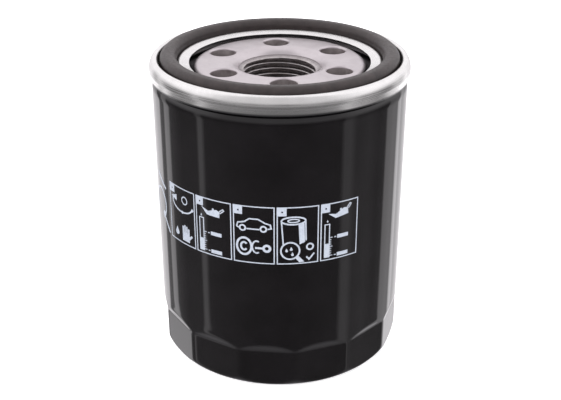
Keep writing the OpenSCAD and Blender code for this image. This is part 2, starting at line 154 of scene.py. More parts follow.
def tidy_mesh(mesh, sharp_deg):
    """Joins points that coincide, turns the faces outwards and shades them."""
    bm = bmesh.new()
    bm.from_mesh(mesh)
    bmesh.ops.remove_doubles(bm, verts=bm.verts, dist=1e-7)
    bmesh.ops.dissolve_degenerate(bm, edges=bm.edges, dist=1e-8)
    bmesh.ops.recalc_face_normals(bm, faces=bm.faces)
    bm.to_mesh(mesh)
    bm.free()
    mesh.shade_smooth()
    mesh.set_sharp_from_angle(angle=math.radians(sharp_deg))


def arc(cx, cy, r, start_deg, end_deg, steps):
    """Points of an arc in a profile plane."""
    return [(cx + r * math.cos(math.radians(start_deg + (end_deg - start_deg) * i / steps)),
             cy + r * math.sin(math.radians(start_deg + (end_deg - start_deg) * i / steps)))
            for i in range(steps + 1)]


def rows(start, end, count):
    """Evenly spaced values from start to end, in count steps."""
    return [start + (end - start) * k / count for k in range(count + 1)]


def polar(r, angle, z):
    """The point at radius r and an angle about the axis."""
    return r * math.cos(angle), r * math.sin(angle), z


def wall_faces(columns, count, spans, whole=True):
    """Faces between neighbouring columns of count points. A whole wall's last column meets its first."""
    faces = []
    for j in range(columns if whole else columns - 1):
        near, far = j * count, (j + 1) % columns * count
        for i in range(spans):
            k = (i + 1) % count
            faces.append((near + i, far + i, far + k, near + k))
    return faces


def revolve(name, profile, columns=256, change=None, sharp_deg=40):
    """Turns a closed profile of (r, z) points about the axis. change(r, z, angle) may move a point."""
    verts = []
    for j in range(columns):
        angle = TAU * j / columns
        for r, z in profile:
            if change:
                r, z = change(r, z, angle)
            verts.append(polar(r, angle, z))
    faces = wall_faces(columns, len(profile), len(profile))
    return object_from(name, verts, faces, sharp_deg)


def sheet_profile(path, thickness):
    """The closed outline of a sheet whose middle follows path."""
    left = []
    right = []
    for i, (x, y) in enumerate(path):
        x0, y0 = path[max(i - 1, 0)]
        x1, y1 = path[min(i + 1, len(path) - 1)]
        length = math.hypot(x1 - x0, y1 - y0)
        nx, ny = -(y1 - y0) / length, (x1 - x0) / length
        left.append((x + nx * thickness / 2, y + ny * thickness / 2))
        right.append((x - nx * thickness / 2, y - ny * thickness / 2))
    return left + right[::-1]


def smooth_min(a, b, k):
    """The smaller of a and b, with the corner between them rounded over k."""
    h = max(k - abs(a - b), 0) / k
    return min(a, b) - h * h * k / 4


def smooth_step(t):
    """0 to 1 with level ends, as t goes from 0 to 1."""
    t = min(max(t, 0), 1)
    return t * t * (3 - 2 * t)


# ---------------------------------------------------------------- material helpers

def new_material(name):
    mat = bpy.data.materials.new(name)
    mat.use_nodes = True
    tree = mat.node_tree
    shader = tree.nodes["Principled BSDF"]
    return mat, tree, shader


def set_values(shader, **values):
    for key, value in values.items():
        shader.inputs[key.replace("_", " ")].default_value = value


def coords(tree):
    """The point in millimetres."""
    where = tree.nodes.new("ShaderNodeTexCoord")
    scale = tree.nodes.new("ShaderNodeVectorMath")
    scale.operation = "SCALE"
    scale.inputs["Scale"].default_value = 1 / MM
    tree.links.new(where.outputs["Object"], scale.inputs[0])
    return scale.outputs[0]


def split_xyz(tree, vector):
    node = tree.nodes.new("ShaderNodeSeparateXYZ")
    tree.links.new(vector, node.inputs[0])
    return node.outputs


def turned_coords(tree):
    """The point's radius and height in millimetres, and its angle about the axis."""
    split = split_xyz(tree, coords(tree))
    flat = tree.nodes.new("ShaderNodeCombineXYZ")
    tree.links.new(split["X"], flat.inputs["X"])
    tree.links.new(split["Y"], flat.inputs["Y"])
    radius = tree.nodes.new("ShaderNodeVectorMath")
    radius.operation = "LENGTH"
    tree.links.new(flat.outputs[0], radius.inputs[0])
    angle = math_node(tree, "ARCTAN2", split["Y"], split["X"])
    joined = tree.nodes.new("ShaderNodeCombineXYZ")
    tree.links.new(radius.outputs["Value"], joined.inputs["X"])
    tree.links.new(split["Z"], joined.inputs["Y"])
    tree.links.new(angle, joined.inputs["Z"])
    return joined.outputs[0]


def stretched(tree, vector, scale):
    node = tree.nodes.new("ShaderNodeVectorMath")
    node.operation = "MULTIPLY"
    node.inputs[1].default_value = scale
    tree.links.new(vector, node.inputs[0])
    return node.outputs[0]


def noise(tree, vector, scale, detail=4, roughness=0.55, distortion=0):
    node = tree.nodes.new("ShaderNodeTexNoise")
    node.inputs["Scale"].default_value = scale
    node.inputs["Detail"].default_value = detail
    node.inputs["Roughness"].default_value = roughness
    node.inputs["Distortion"].default_value = distortion
    tree.links.new(vector, node.inputs["Vector"])
    return node.outputs["Fac"]


def math_node(tree, operation, a, b=None):
    node = tree.nodes.new("ShaderNodeMath")
    node.operation = operation
    for slot, value in zip(node.inputs, (a, b)):
        if value is None:
            continue
        if isinstance(value, (int, float)):
            slot.default_value = value
        else:
            tree.links.new(value, slot)
    return node.outputs[0]


def spread(tree, value, low, high, from_low=0.3, from_high=0.7):
    """Maps a value onto low to high. Noise mostly lies between 0.3 and 0.7."""
    node = tree.nodes.new("ShaderNodeMapRange")
    node.inputs["From Min"].default_value = from_low
    node.inputs["From Max"].default_value = from_high
    node.inputs["To Min"].default_value = low
    node.inputs["To Max"].default_value = high
    tree.links.new(value, node.inputs["Value"])
    return node.outputs["Result"]


def ramp(tree, value, stops):
    """A colour ramp: stops are (place, colour)."""
    node = tree.nodes.new("ShaderNodeValToRGB")
    elements = node.color_ramp.elements
    elements.remove(elements[1])
    elements[0].position = stops[0][0]
    elements[0].color = (*stops[0][1], 1)
    for place, colour in stops[1:]:
        elements.new(place).color = (*colour, 1)
    tree.links.new(value, node.inputs["Fac"])
    return node.outputs["Color"]


def two_tone(tree, value, dark, light):
    """A colour between dark and light, by a noise value."""
    return ramp(tree, value, [(0.3, dark), (0.7, light)])


def greys(stops):
    """Faintly violet greys for a colour ramp."""
    return [(place, (tone, 0.975 * tone, tone)) for place, tone in stops]


def mixed(tree, share, a, b):
    """Colour a turning into b by share; either may be a plain colour."""
    node = tree.nodes.new("ShaderNodeMix")
    node.data_type = "RGBA"
    tree.links.new(share, node.inputs["Factor"])
    for slot, colour in ((node.inputs[6], a), (node.inputs[7], b)):
        if isinstance(colour, tuple):
            slot.default_value = colour
        else:
            tree.links.new(colour, slot)
    return node.outputs[2]


def bump(tree, shader, layers):
    """Stacks bump layers of (height, strength, depth in millimetres)."""
    last = None
    for height, strength, depth in layers:
        node = tree.nodes.new("ShaderNodeBump")
        node.inputs["Strength"].default_value = strength
        node.inputs["Distance"].default_value = depth * MM
        tree.links.new(height, node.inputs["Height"])
        if last is not None:
            tree.links.new(last, node.inputs["Normal"])
        last = node.outputs["Normal"]
    tree.links.new(last, shader.inputs["Normal"])


# ---------------------------------------------------------------- materials

def black_enamel():
    mat, tree, shader = new_material("black_enamel")
    point = coords(tree)
    turned = turned_coords(tree)
    set_values(shader, IOR=1.48)
    cloud = noise(tree, point, 0.12, 3)
    black = ramp(tree, cloud, [(0.35, (0.0022, 0.0018, 0.0021)), (0.65, (0.0036, 0.003, 0.0035))])
    tree.links.new(black, shader.inputs["Base Color"])
    tree.links.new(spread(tree, noise(tree, point, 0.6, 5), 0.035, 0.075), shader.inputs["Roughness"])
    peel = noise(tree, point, 1.6, 2)
    drawn = noise(tree, stretched(tree, turned, (0, 0.03, 28)), 1, 3)
    bump(tree, shader, [(drawn, 0.16, 0.02), (peel, 0.08, 0.005)])
    return mat


def rolled_metal(name, dark, light, rough, line_scale, line_depth, metallic=1.0, bottom_shade=None):
    """Sheet metal with fine lines round the axis and soft blotches; bottom_shade gives the heights
    (unshaded, fully shaded) of a painted shade that darkens the colour towards the bottom.
    """
    mat, tree, shader = new_material(name)
    point = coords(tree)
    turned = turned_coords(tree)
    set_values(shader, Metallic=metallic)
    blotch = noise(tree, point, 0.35, 4)
    lines = noise(tree, stretched(tree, turned, (line_scale, line_scale, 0.4)), 1, 4)
    colour = two_tone(tree, blotch, dark, light)
    if bottom_shade:
        # painted shade: the colour turns near black towards the bottom, for the shade under the seam's fold
        shade_share = spread(tree, split_xyz(tree, point)["Z"], 0, 1, *bottom_shade)
        colour = mixed(tree, shade_share, colour, (0.07, 0.068, 0.07, 1))
    tree.links.new(colour, shader.inputs["Base Color"])
    tree.links.new(spread(tree, lines, *rough), shader.inputs["Roughness"])
    grain = noise(tree, point, 9, 3)
    bump(tree, shader, [(lines, 0.35, line_depth), (grain, 0.12, 0.004)])
    return mat


def plate_steel():
    mat, tree, shader = new_material("plate_steel")
    point = coords(tree)
    turned = turned_coords(tree)
    set_values(shader, Metallic=1)
    blotch = noise(tree, point, 0.22, 4)
    steel = two_tone(tree, blotch, (0.52, 0.48, 0.495), (0.60, 0.56, 0.575))
    # painted shade: the gap round the raised middle, under the lid's ring, is coloured dark for the shade
    # that falls in it
    gap = spread(tree, split_xyz(tree, turned)["X"], 0, 1, PLATE_R - 1.1, PLATE_R - 0.3)
    tree.links.new(mixed(tree, gap, steel, (0.10, 0.09, 0.095, 1)), shader.inputs["Base Color"])
    fine = noise(tree, point, 2.2, 6, 0.6)
    tree.links.new(spread(tree, fine, 0.30, 0.44), shader.inputs["Roughness"])
    wear = noise(tree, stretched(tree, point, (0.35, 5, 1)), 1, 5, 0.7, 0.4)
    rings = noise(tree, stretched(tree, turned, (5, 5, 0.3)), 1, 2)
    bump(tree, shader, [(wear, 0.10, 0.008), (rings, 0.15, 0.008), (fine, 0.18, 0.01)])
    return mat


def thread_steel():
    mat, tree, shader = new_material("thread_steel")
    point = coords(tree)
    turned = turned_coords(tree)
    set_values(shader, Metallic=1)
    stain = noise(tree, point, 0.8, 4)
    steel = two_tone(tree, stain, (0.36, 0.33, 0.33), (0.56, 0.53, 0.53))
    # painted shade: the countersink above the first crest is coloured darker, for the shade that falls in it
    mouth_z = PLATE_TOP_Z - MOUTH_DIP
    sink_shade = spread(tree, split_xyz(tree, turned)["Y"], 0, 1, mouth_z - MOUTH_SINK_H, mouth_z)
    tree.links.new(mixed(tree, sink_shade, steel, (0.17, 0.15, 0.155, 1)), shader.inputs["Base Color"])
    tool = noise(tree, stretched(tree, turned, (14, 14, 0.2)), 1, 3)
    tree.links.new(spread(tree, tool, 0.22, 0.38), shader.inputs["Roughness"])
    bump(tree, shader, [(tool, 0.3, 0.01)])
    return mat


def rubber(name, dark, light, rough):
    mat, tree, shader = new_material(name)
    point = coords(tree)
    turned = turned_coords(tree)
    bloom = noise(tree, point, 0.45, 5, 0.6)
    tree.links.new(two_tone(tree, bloom, dark, light), shader.inputs["Base Color"])
    tree.links.new(spread(tree, noise(tree, point, 1.5, 4), *rough), shader.inputs["Roughness"])
    set_values(shader, IOR=1.5)
    pores = noise(tree, point, 5, 5, 0.65)
    mould = noise(tree, stretched(tree, turned, (3, 3, 0.25)), 1, 3)
    bump(tree, shader, [(mould, 0.25, 0.03), (pores, 0.2, 0.015)])
    return mat


def screen_ink():
    mat, tree, shader = new_material("screen_ink")
    point = coords(tree)
    tone = noise(tree, point, 2.5, 4)
    grey = two_tone(tree, tone, (0.26, 0.29, 0.345), (0.36, 0.39, 0.445))
    tree.links.new(grey, shader.inputs["Base Color"])
    tree.links.new(spread(tree, tone, 0.35, 0.5), shader.inputs["Roughness"])
    bump(tree, shader, [(noise(tree, point, 9, 3), 0.3, 0.006)])
    return mat


def filter_paper():
    mat, tree, shader = new_material("filter_paper")
    point = coords(tree)
    fibre = noise(tree, stretched(tree, point, (4, 4, 1.2)), 1, 6, 0.7)
    tan = two_tone(tree, fibre, (0.60, 0.42, 0.19), (0.78, 0.60, 0.33))
    tree.links.new(tan, shader.inputs["Base Color"])
    set_values(shader, Roughness=0.85)
    bump(tree, shader, [(fibre, 0.5, 0.05), (noise(tree, point, 6, 4), 0.3, 0.02)])
    return mat


def bond_resin():
    mat, tree, shader = new_material("bond_resin")
    point = coords(tree)
    flow = noise(tree, point, 0.8, 4, 0.5, 0.6)
    amber = two_tone(tree, flow, (0.50, 0.36, 0.16), (0.66, 0.50, 0.26))
    tree.links.new(amber, shader.inputs["Base Color"])
    tree.links.new(spread(tree, flow, 0.35, 0.6), shader.inputs["Roughness"])
    bump(tree, shader, [(flow, 0.4, 0.06)])
    return mat


def plain_floor():
    mat, tree, shader = new_material("pale_floor")
    where = tree.nodes.new("ShaderNodeTexCoord")
    grain = noise(tree, where.outputs["Object"], 60, 3)
    pale = two_tone(tree, grain, (0.88, 0.88, 0.885), (0.90, 0.90, 0.905))
    tree.links.new(pale, shader.inputs["Base Color"])
    set_values(shader, Roughness=0.7, Emission_Color=(1, 1, 1, 1), Emission_Strength=0.55)
    return mat


ENAMEL = black_enamel()
# the tinplate carries a painted shade that darkens the seam towards its lower edge
TINPLATE = rolled_metal("tinplate", (0.74, 0.735, 0.725), (0.80, 0.795, 0.785), rough=(0.20, 0.31),
                        line_scale=7, line_depth=0.012, bottom_shade=(SEAM_Z + 0.85, SEAM_Z + 0.45))
PLATE = plate_steel()
THREAD = thread_steel()
GASKET = rubber("gasket_rubber", (0.010, 0.0068, 0.0066), (0.021, 0.0145, 0.014), rough=(0.36, 0.52))
PUNCHED = rolled_metal("punched_edge", (0.26, 0.225, 0.225), (0.50, 0.45, 0.45), rough=(0.35, 0.52),
                       line_scale=3, line_depth=0.03, metallic=0.8)
PLATE_MATERIALS = [PLATE, THREAD, PUNCHED]
VALVE_RUBBER = rubber("valve_rubber", (0.014, 0.014, 0.015), (0.024, 0.024, 0.025), rough=(0.5, 0.65))
COMPOUND = rubber("seam_compound", (0.22, 0.34, 0.28), (0.30, 0.44, 0.37), rough=(0.5, 0.7))
ZINC = rolled_metal("zinc_steel", (0.55, 0.56, 0.55), (0.70, 0.71, 0.69), rough=(0.28, 0.45),
                    line_scale=4, line_depth=0.02)
YELLOW_ZINC = rolled_metal("yellow_zinc", (0.52, 0.43, 0.22), (0.68, 0.60, 0.38), rough=(0.28, 0.42),
                           line_scale=4, line_depth=0.02)
SPRING_STEEL = rolled_metal("spring_steel", (0.30, 0.30, 0.31), (0.44, 0.44, 0.45), rough=(0.25, 0.40),
                            line_scale=3, line_depth=0.01)
INK = screen_ink()
PAPER = filter_paper()
RESIN = bond_resin()


# ---------------------------------------------------------------- can

def press_flat(inset):
    """Moves points of the can's section onto its wrench flats."""
    pitch = TAU / FLATS
    first = -math.pi / 2 - math.radians(FLAT_TURN)

    def change(r, z, angle):
        if z > FLAT_H + FLAT_RAMP_H + 1 or r < RECESS_R:
            return r, z
        off = (angle - first + pitch / 2) % pitch - pitch / 2
        apothem = CAN_R - FLAT_DEPTH * (1 - smooth_step((z - FLAT_H) / FLAT_RAMP_H))
        return smooth_min(r, (apothem - inset) / math.cos(off), FLAT_ROUND), z
    return change


def can_outline(inset):
    """The can's section from the middle of the closed end to the neck, inset from its outer face."""
    slope = inset * (math.sqrt(2) - 1)
    points = [(0.0, RECESS + inset)]
    points += [(RECESS_R * k / 6, RECESS + inset) for k in range(1, 6)]
    points += [(RECESS_R + slope - 0.3, RECESS + inset), (RECESS_R + slope, RECESS + inset - 0.04)]
    points += [(RECESS_R + slope + RECESS - 0.04, inset + 0.04), (RECESS_R + slope + RECESS + 0.3, inset)]
    points += [(27.0, inset)]
    points += arc(CAN_R - BEND_R, BEND_R, BEND_R - inset, -90, 0, 14)
    # close rows where the flats run out into the round can
    heights = [4, 5, 6.5, 8, 9.5]
    heights += rows(FLAT_H - 0.6, FLAT_H + FLAT_RAMP_H + 0.8, 18)
    heights += rows(15.5, NECK_SLOPE_Z - 1.2, 24)
    points += [(CAN_R - inset, z) for z in heights]
    # the neck draws in ever faster up to its straight part inside the seam
    start_z = NECK_SLOPE_Z - 0.9
    for share in rows(0, 1, 14)[1:]:
        drawn_in = (CAN_R - NECK_R) * share ** NECK_CURVE
        points.append((CAN_R - inset - drawn_in, start_z + (NECK_TOP_Z - start_z) * share))
    return points


def make_can():
    fold_mid_r = NECK_R - CAN_T + HOOK_FOLD_R
    fold_z = HOOK_TOP_Z - HOOK_FOLD_R
    hook_in_r = fold_mid_r + HOOK_FOLD_R - CAN_T
    outer = can_outline(0)
    inner = can_outline(CAN_T)
    fold_out = arc(fold_mid_r, fold_z, HOOK_FOLD_R, 180, 0, 16)
    fold_in = arc(fold_mid_r, fold_z, HOOK_FOLD_R - CAN_T, 0, 180, 10)
    hook = [(hook_in_r + CAN_T, HOOK_END_Z), (hook_in_r, HOOK_END_Z)]
    profile = outer[1:] + fold_in[::-1] + hook[::-1] + fold_out[::-1] + inner[:0:-1]
    columns = FLATS * COLUMNS_PER_FLAT
    count = len(profile)
    outer_count = len(outer) - 1
    outside = press_flat(0)
    inside = press_flat(CAN_T)
    verts = []
    for j in range(columns):
        angle = TAU * j / columns
        for i, (r, z) in enumerate(profile):
            r, z = (outside if i < outer_count else inside)(r, z, angle)
            verts.append(polar(r, angle, z))
    faces = wall_faces(columns, count, count - 1)
    # the middle of the closed end, below and above the sheet
    low, high = len(verts), len(verts) + 1
    verts += [(0, 0, RECESS), (0, 0, RECESS + CAN_T)]
    for j in range(columns):
        near, far = j * count, (j + 1) % columns * count
        faces.append((low, far, near))
        faces.append((high, near + count - 1, far + count - 1))
    can = object_from("can_shell", verts, faces, 35)
    can.data.materials.append(ENAMEL)
    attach(can, "shell")
    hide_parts("outer_can")


# ---------------------------------------------------------------- lid

def make_lid():
    half = LID_T / 2
    hook_r = NECK_R + SEAM_GAP + half
    groove_mid_z = FLANGE_Z + half
    slope = RING_SLOPE / (GROOVE_R - LID_BEND_R - RING_R)
    path = [(RING_R + t, RING_Z - half - RING_SLOPE + t * slope) for t in (0, 0.12, 0.5, 1.2, 1.8)]
    path += arc(GROOVE_R - LID_BEND_R, RING_Z - LID_BEND_R, LID_BEND_R - half, 95, 0, 9)
    bend = GROOVE_BEND_R
    path += arc(GROOVE_R - half + bend, groove_mid_z + bend, bend, 180, 270, 5)
    path += arc(CHUCK_R + half - bend, groove_mid_z + bend, bend, 270, 360, 5)
    # the fold over the can: tight inside, then a tall round down to the crease the seaming roll left
    top_z = SEAM_TOP_Z - half
    wall_r = SEAM_R - half
    fold_r = CHUCK_R + half + LID_FOLD_IN_R
    round_w = (wall_r - fold_r) / math.sin(LID_FOLD_END)
    round_h = (top_z - CREASE_Z) / (1 - math.cos(LID_FOLD_END))
    path += arc(fold_r, top_z - LID_FOLD_IN_R, LID_FOLD_IN_R, 180, 90, 10)
    path += [(fold_r + round_w * math.sin(turn), top_z - round_h * (1 - math.cos(turn)))
             for turn in rows(0, LID_FOLD_END, 20)[1:]]
    # the wall below the crease tapers in to the fold under the can's hook
    path += [(wall_r - inward, CREASE_Z - down) for inward, down in ((0.03, 0.12), (0.06, 0.4), (0.12, 0.9))]
    under_r = (wall_r - SEAM_TAPER - hook_r) / 2
    path += arc(hook_r + under_r, SEAM_Z + half + under_r, under_r, 8, -180, 14)
    path += [(hook_r, SEAM_Z + 1.2), (hook_r, LID_HOOK_END_Z)]
    profile = sheet_profile(path, LID_T)

    def wobble(r, z, angle):
        """The cut inner edge isn't perfectly round, and the seam shows the rolls' slight unevenness.

        The seam's waves only go inwards from its full radius.
        """
        if r < RING_R + 0.5:
            r += 0.035 * math.sin(5 * angle + 1) + 0.02 * math.sin(17 * angle) + 0.012 * math.sin(41 * angle)
        elif r > NECK_R + 0.7 and z < CREASE_Z + 1:
            r += 0.008 * math.sin(9 * angle) + 0.006 * math.sin(23 * angle + 2) - 0.015
        return r, z

    lid = revolve("lid_and_seam", profile, 320, wobble, 50)
    lid.data.materials.append(TINPLATE)
    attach(lid, "shell")
    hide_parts("seaming_lid")


# ---------------------------------------------------------------- gasket

def make_gasket():
    inner_r = GASKET_R - GASKET_W
    e, f = (GASKET_W - GASKET_CREST_W) / 2, GASKET_FOOT_R
    profile = arc(inner_r + e, TOP_Z - e, e, 180, 90, 16)
    profile += arc(GASKET_R - e, TOP_Z - e, e, 90, 0, 16)
    profile += arc(GASKET_R - f, GASKET_FOOT_Z + f, f, 0, -90, 5)
    profile += arc(inner_r + f, GASKET_FOOT_Z + f, f, -90, -180, 5)

    def settle(r, z, angle):
        """Rubber isn't quite round in its groove."""
        r += 0.02 * math.sin(3 * angle + 0.5) + 0.012 * math.sin(7 * angle)
        if z > GASKET_FOOT_Z + 2:
            z -= 0.02 + 0.02 * math.sin(4 * angle + 1)
        return r, z

    gasket = revolve("gasket_ring", profile, 256, settle, 60)
    gasket.data.materials.append(GASKET)
    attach(gasket, "shell")
    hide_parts("sealing_gasket")


# ---------------------------------------------------------------- base plate

def thread_radius(phase):
    """Radius of an internal thread at a phase from 0 to 1: crest, flank, root, flank."""
    flank = (1 - THREAD_CREST - THREAD_ROOT) / 2
    depth = THREAD_MAJOR_R - THREAD_MINOR_R
    if phase < THREAD_CREST:
        return THREAD_MINOR_R
    if phase < THREAD_CREST + flank:
        return THREAD_MINOR_R + depth * (phase - THREAD_CREST) / flank
    if phase < THREAD_CREST + flank + THREAD_ROOT:
        return THREAD_MAJOR_R
    return THREAD_MAJOR_R - depth * (phase - THREAD_CREST - flank - THREAD_ROOT) / flank


def plate_section(mouth_r, under_z):
    """The base plate's section from the collar's foot, round its rim, to the thread's mouth."""
    step_r = PLATE_R + 1
    rim_under_z = FLANGE_Z - PLATE_T
    fillet, foot = COLLAR_FILLET_R, FOOT_FILLET_R
    flat_r = mouth_r + math.sqrt(MOUTH_ROLL_R ** 2 - (MOUTH_ROLL_R - MOUTH_DIP) ** 2)
    roll_end = math.degrees(math.acos((mouth_r - flat_r) / MOUTH_ROLL_R))
    ring = [(COLLAR_R - COLLAR_CHAMFER, COLLAR_Z), (COLLAR_R, COLLAR_Z + COLLAR_CHAMFER)]
    ring += [(COLLAR_R, under_z - fillet)]
    ring += arc(COLLAR_R + fillet, under_z - fillet, fillet, 180, 90, 5)[1:]
    ring += [(14.5, under_z), (20.0, under_z), (step_r, under_z)]
    ring += [(step_r + under_z - rim_under_z, rim_under_z)]
    ring += [(PLATE_RIM_R - RIM_CHAMFER, rim_under_z), (PLATE_RIM_R, rim_under_z + RIM_CHAMFER)]
    ring += [(PLATE_RIM_R, FLANGE_Z - RIM_CHAMFER), (PLATE_RIM_R - RIM_CHAMFER, FLANGE_Z)]
    ring += [(PLATE_R + foot, FLANGE_Z)]
    ring += arc(PLATE_R + foot, FLANGE_Z + foot, foot, -90, -180, 4)[1:]
    ring += arc(PLATE_R - SHOULDER_R, PLATE_TOP_Z - SHOULDER_R, SHOULDER_R, 0, 90, 12)
    ring += [(flat_r + (PLATE_R - SHOULDER_R - flat_r) * k / 4, PLATE_TOP_Z) for k in (3, 2, 1)]
    ring += arc(flat_r, PLATE_TOP_Z - MOUTH_ROLL_R, MOUTH_ROLL_R, 90, roll_end, 14)
    return ring


def make_base_plate():
    columns = 240
    rows_per_turn = 14
    mouth_r = THREAD_MINOR_R + MOUTH_SINK_W
    mouth_z = PLATE_TOP_Z - MOUTH_DIP
    under_z = PLATE_TOP_Z - PLATE_T
    section = plate_section(mouth_r, under_z)
    turns = math.ceil((mouth_z - COLLAR_Z) / PITCH) + 1
    verts = []
    # each column's thread rows rise with the helix, and those past the ends gather at the ends
    for j in range(columns + 1):
        column = list(section)
        for i in range(turns * rows_per_turn, -2 * rows_per_turn - 1, -1):
            z = COLLAR_Z + PITCH * (i / rows_per_turn + j / columns + THREAD_PHASE)
            z = min(max(z, COLLAR_Z), mouth_z)
            phase = ((z - COLLAR_Z) / PITCH - j / columns - THREAD_PHASE) % 1
            sink = mouth_r - (mouth_z - z) * MOUTH_SINK_W / MOUTH_SINK_H
            chamfer = THREAD_MINOR_R + THREAD_CHAMFER - (z - COLLAR_Z)
            column.append((max(thread_radius(phase), sink, chamfer), z))
        verts += [polar(r, TAU * j / columns, z) for r, z in column]
    count = len(verts) // (columns + 1)
    faces = wall_faces(columns + 1, count, count, whole=False)
    plate = object_from("threaded_plate", verts, faces, PLATE_SHARP_DEG)
    for mat in PLATE_MATERIALS:
        plate.data.materials.append(mat)
    for face in plate.data.polygons:
        c = face.center / MM
        if math.hypot(c.x, c.y) < mouth_r and c.z < mouth_z:
            face.material_index = PLATE_MATERIALS.index(THREAD)
    cut_inlets(plate, under_z)
    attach(plate, "shell")
    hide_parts("base_plate")


def cut_inlets(plate, under_z):
    """Cuts the inlet holes, each with a rolled upper edge."""
    roll = INLET_ROLL_R
    profile = [(0, under_z - 1), (INLET_R, under_z - 1), (INLET_R, PLATE_TOP_Z - roll)]
    profile += arc(INLET_R + roll, PLATE_TOP_Z - roll, roll, 180, 95, 7)
    profile += [(INLET_R + roll + 0.05, PLATE_TOP_Z + 1), (0, PLATE_TOP_Z + 1)]
    cutters = []
    centres = []
    for k in range(INLETS):
        angle = math.radians(INLET_TURN) + TAU * k / INLETS
        cutter = revolve(f"inlet_cutter_{k}", profile, 64)
        centres.append(Vector(polar(INLET_PCR * MM, angle, 0)))
        cutter.location = centres[-1]
        cutters.append(cutter)
    bpy.context.view_layer.update()
    for cutter in cutters:
        cut = plate.modifiers.new("cut", "BOOLEAN")
        cut.operation = "DIFFERENCE"
        cut.solver = "EXACT"
        cut.object = cutter
    depsgraph = bpy.context.evaluated_depsgraph_get()
    mesh = bpy.data.meshes.new_from_object(plate.evaluated_get(depsgraph))
    plate.modifiers.clear()
    plate.data = mesh
    for cutter in cutters:
        bpy.data.objects.remove(cutter)
    for face in mesh.polygons:
        reach = min((face.center.xy - centre.xy).length for centre in centres)
        if reach < (INLET_R + 0.02) * MM and face.center.z < (PLATE_TOP_Z - roll) * MM:
            face.material_index = PLATE_MATERIALS.index(PUNCHED)
    mesh.shade_smooth()
    mesh.set_sharp_from_angle(angle=math.radians(PLATE_SHARP_DEG))


# ---------------------------------------------------------------- springs

def make_spring(name, node, spring, body):
    """A wire coil with closed ends."""
    rings_per_turn, sides = 48, 14
    wire_r = spring["wire_r"]
    closed = 1.05 * 2 * wire_r
    rise = spring["length"] - 2 * wire_r
    middle = rise - 2 * closed
    turns = spring["turns"]

    def height(turn):
        if turn < 1:
            return turn * closed
        if turn > turns - 1:
            return rise - (turns - turn) * closed
        return closed + middle * (turn - 1) / (turns - 2)

    count = int(turns * rings_per_turn)
    verts = []
    for i in range(count + 1):
        turn = turns * i / count
        for k in range(sides):
            around = TAU * k / sides
            r = spring["mean_r"] + wire_r * math.cos(around)
            z = spring["foot_z"] + wire_r * (1 + math.sin(around)) + height(turn)
            verts.append(polar(r, TAU * turn, z))
    faces = []
    for i in range(count):
        near, far = i * sides, (i + 1) * sides
        faces += [(near + k, near + (k + 1) % sides, far + (k + 1) % sides, far + k) for k in range(sides)]
    faces.append(tuple(range(sides - 1, -1, -1)))
    faces.append(tuple(count * sides + k for k in range(sides)))
    coil = object_from(name, verts, faces, 50)
    coil.data.materials.append(SPRING_STEEL)
    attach(coil, body)
    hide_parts(node)
    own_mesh(coil)


# ---------------------------------------------------------------- print on the can

